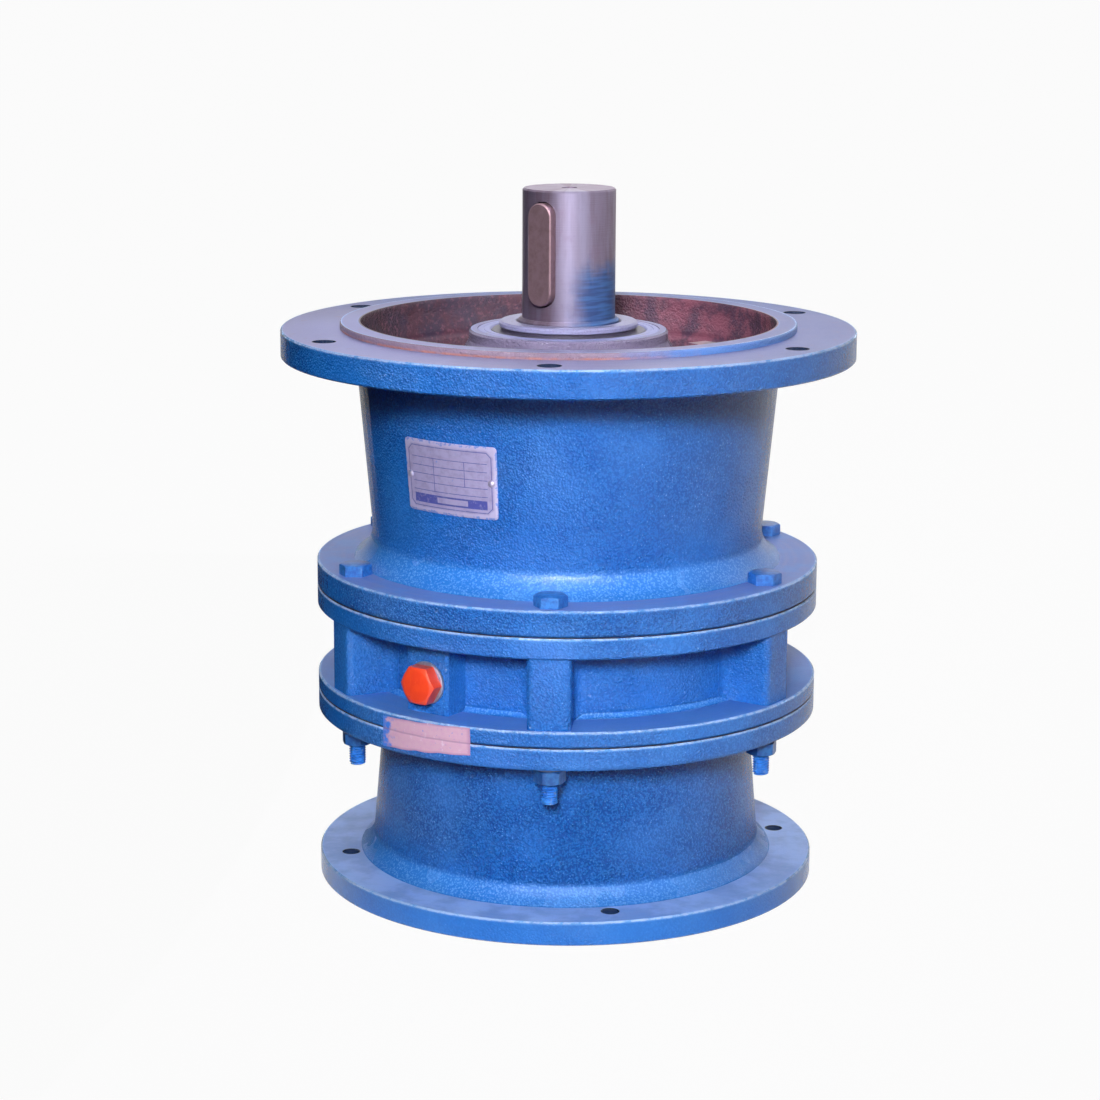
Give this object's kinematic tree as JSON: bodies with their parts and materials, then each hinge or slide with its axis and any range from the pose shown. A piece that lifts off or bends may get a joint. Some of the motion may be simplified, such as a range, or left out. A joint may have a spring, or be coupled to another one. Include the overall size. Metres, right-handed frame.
{
  "type": "cycloidal reducer",
  "caption": "Vertical flange-mounted cycloidal speed reducer with a keyed output shaft, a pin-and-disc drive inside and a hollow input shaft in a motor adapter.",
  "frame": {"origin": "centre of the motor flange's face, at the bottom of the part", "axes": "+Z along the output shaft, upwards; the key and nameplate face 120 degrees clockwise from +X seen from above, and the oil plug 122, and a clamp bolt lies on -Y"},
  "size_m": [0.3399, 0.34, 0.414],
  "materials": {
    "blue_enamel": "bright blue hammered enamel on cast iron",
    "zinc_steel": "dull zinc-plated steel with blue overspray",
    "gasket_paper": "dark paper gasket",
    "orange_paint": "orange-red painted hexagon plug",
    "aluminium_plate": "etched aluminium plate, bare",
    "carrier_steel": "turned steel under thin blue overspray",
    "seal_rubber": "nitrile rubber",
    "turned_steel": "turned and ground steel with a brown tarnish",
    "dark_steel": "dark hardened steel",
    "bearing_steel": "polished bearing steel",
    "cage_brass": "machined brass cage"
  },
  "bodies": {
    "housing": {"motor_adapter": "blue_enamel", "adapter_gasket": "gasket_paper", "pin_housing": "blue_enamel", "casing_gasket": "gasket_paper", "output_casing": "blue_enamel", "clamp_bolts": "blue_enamel", "clamp_washers": "zinc_steel", "clamp_nuts": "zinc_steel", "oil_plug": "orange_paint", "oil_plug_seal": "zinc_steel", "nameplate": "aluminium_plate", "nameplate_rivets": "aluminium_plate", "seal_carrier": "carrier_steel", "output_oil_seal": "seal_rubber", "input_oil_seal": "seal_rubber", "input_bearing_outer_ring": "bearing_steel", "input_bearing_circlip": "dark_steel", "lower_bearing_outer_ring": "bearing_steel", "lower_bearing_circlip": "dark_steel", "upper_bearing_outer_ring": "bearing_steel", "ring_pins": "bearing_steel", "ring_rollers": "bearing_steel"},
    "output": {"output_shaft": "turned_steel", "output_key": "dark_steel", "output_pins": "bearing_steel", "output_rollers": "bearing_steel", "tightening_ring": "dark_steel", "disc_spacer": "dark_steel", "bearing_spacer": "dark_steel", "lower_bearing_inner_ring": "bearing_steel", "upper_bearing_inner_ring": "bearing_steel", "output_shaft_circlip": "dark_steel", "pilot_bearing_outer_ring": "bearing_steel"},
    "input": {"input_shaft": "turned_steel", "eccentric_sleeve": "turned_steel", "eccentric_key": "dark_steel", "input_bearing_inner_ring": "bearing_steel", "input_shaft_circlip": "dark_steel", "pilot_bearing_inner_ring": "bearing_steel", "pilot_circlip": "dark_steel"},
    "lower_disc": {"lower_cycloid_disc": "turned_steel"},
    "upper_disc": {"upper_cycloid_disc": "turned_steel"},
    "lower_eccentric_bearing": {"lower_eccentric_rollers": "bearing_steel", "lower_eccentric_cage": "cage_brass"},
    "upper_eccentric_bearing": {"upper_eccentric_rollers": "bearing_steel", "upper_eccentric_cage": "cage_brass"},
    "input_bearing_set": {"input_bearing_balls": "bearing_steel", "input_bearing_cage": "cage_brass"},
    "pilot_bearing_set": {"pilot_bearing_balls": "bearing_steel", "pilot_bearing_cage": "cage_brass"},
    "lower_bearing_set": {"lower_bearing_balls": "bearing_steel", "lower_bearing_cage": "cage_brass"},
    "upper_bearing_set": {"upper_bearing_balls": "bearing_steel", "upper_bearing_cage": "cage_brass"}
  },
  "joints": [
    {"name": "input_spin", "type": "hinge", "parent": "housing", "child": "input", "pos_m": [0, 0, 0.1], "axis": [0, 0, 1], "continuous": true},
    {"name": "output_spin", "type": "hinge", "parent": "housing", "child": "output", "pos_m": [0, 0, 0.3], "axis": [0, 0, 1], "continuous": true},
    {"name": "lower_disc_spin", "type": "hinge", "parent": "input", "child": "lower_disc", "pos_m": [0.004, 0, 0.1355], "axis": [0, 0, 1], "continuous": true},
    {"name": "upper_disc_spin", "type": "hinge", "parent": "input", "child": "upper_disc", "pos_m": [-0.004, 0, 0.1595], "axis": [0, 0, 1], "continuous": true},
    {"name": "lower_eccentric_bearing_spin", "type": "hinge", "parent": "input", "child": "lower_eccentric_bearing", "pos_m": [0.004, 0, 0.1355], "axis": [0, 0, 1], "continuous": true},
    {"name": "upper_eccentric_bearing_spin", "type": "hinge", "parent": "input", "child": "upper_eccentric_bearing", "pos_m": [-0.004, 0, 0.1595], "axis": [0, 0, 1], "continuous": true},
    {"name": "input_bearing_spin", "type": "hinge", "parent": "housing", "child": "input_bearing_set", "pos_m": [0, 0, 0.1], "axis": [0, 0, 1], "continuous": true},
    {"name": "pilot_bearing_spin", "type": "hinge", "parent": "output", "child": "pilot_bearing_set", "pos_m": [0, 0, 0.1815], "axis": [0, 0, 1], "continuous": true},
    {"name": "lower_bearing_spin", "type": "hinge", "parent": "housing", "child": "lower_bearing_set", "pos_m": [0, 0, 0.21], "axis": [0, 0, 1], "continuous": true},
    {"name": "upper_bearing_spin", "type": "hinge", "parent": "housing", "child": "upper_bearing_set", "pos_m": [0, 0, 0.308], "axis": [0, 0, 1], "continuous": true}
  ],
  "couplings": [
    {"joint": "output_spin", "follows": "input_spin", "ratio": -0.090909},
    {"joint": "lower_disc_spin", "follows": "input_spin", "ratio": -1.0909},
    {"joint": "upper_disc_spin", "follows": "input_spin", "ratio": -1.0909},
    {"joint": "lower_eccentric_bearing_spin", "follows": "input_spin", "ratio": -0.63776},
    {"joint": "upper_eccentric_bearing_spin", "follows": "input_spin", "ratio": -0.63776},
    {"joint": "input_bearing_spin", "follows": "input_spin", "ratio": 0.43226},
    {"joint": "pilot_bearing_spin", "follows": "input_spin", "ratio": 0.43229},
    {"joint": "lower_bearing_spin", "follows": "input_spin", "ratio": -0.037762},
    {"joint": "upper_bearing_spin", "follows": "input_spin", "ratio": -0.037433}
  ]
}
